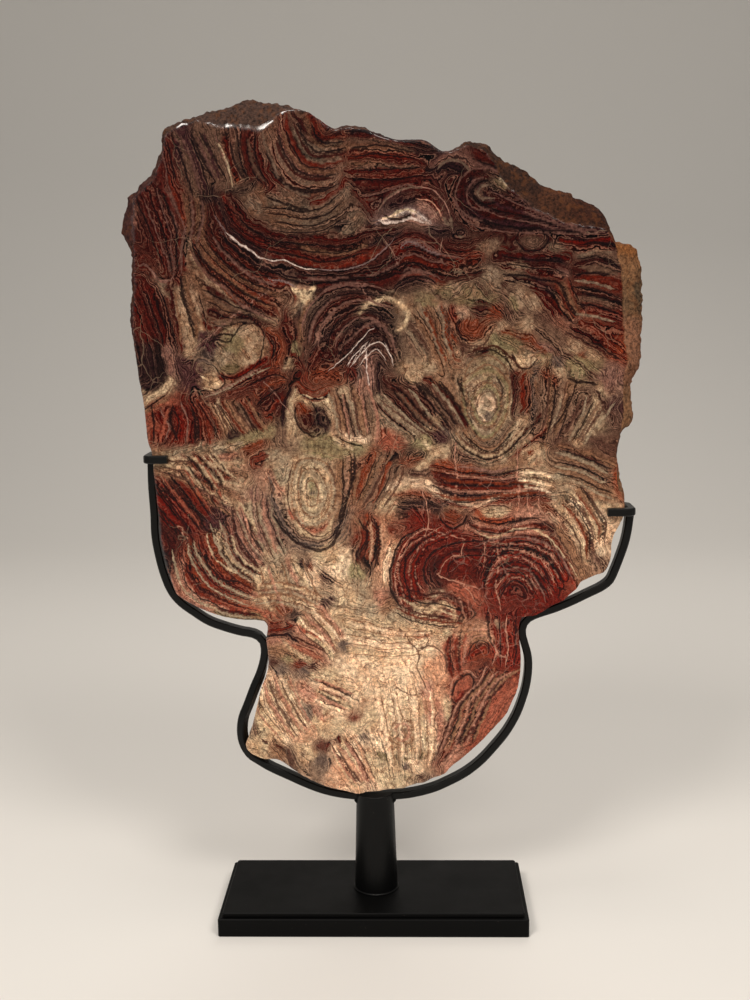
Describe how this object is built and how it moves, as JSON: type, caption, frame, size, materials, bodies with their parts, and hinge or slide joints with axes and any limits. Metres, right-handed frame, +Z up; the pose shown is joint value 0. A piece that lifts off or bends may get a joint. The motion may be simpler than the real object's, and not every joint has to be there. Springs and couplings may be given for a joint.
{
  "type": "stromatolite",
  "caption": "Polished slice of banded red stromatolite with a natural rim, standing upright in a bent black steel cradle on a post and a heavy rectangular base.",
  "frame": {"origin": "centre of the base's underside, on the surface that the stand rests on", "axes": "+Z up, through the post to the top of the stone; -Y is the way the polished face looks; +X runs to the right along the base, seen from the front"},
  "size_m": [0.4078, 0.1016, 0.6657],
  "materials": {
    "stone": "polished, banded red, maroon and cream",
    "bar_paint": "black satin paint on steel bar",
    "post_paint": "black satin paint on steel",
    "base_paint": "black satin paint on machined steel plate"
  },
  "bodies": {
    "root": {"slab": "stone", "cradle": "bar_paint", "left_clip": "bar_paint", "right_clip": "bar_paint", "post": "post_paint", "base": "base_paint"}
  },
  "joints": []
}
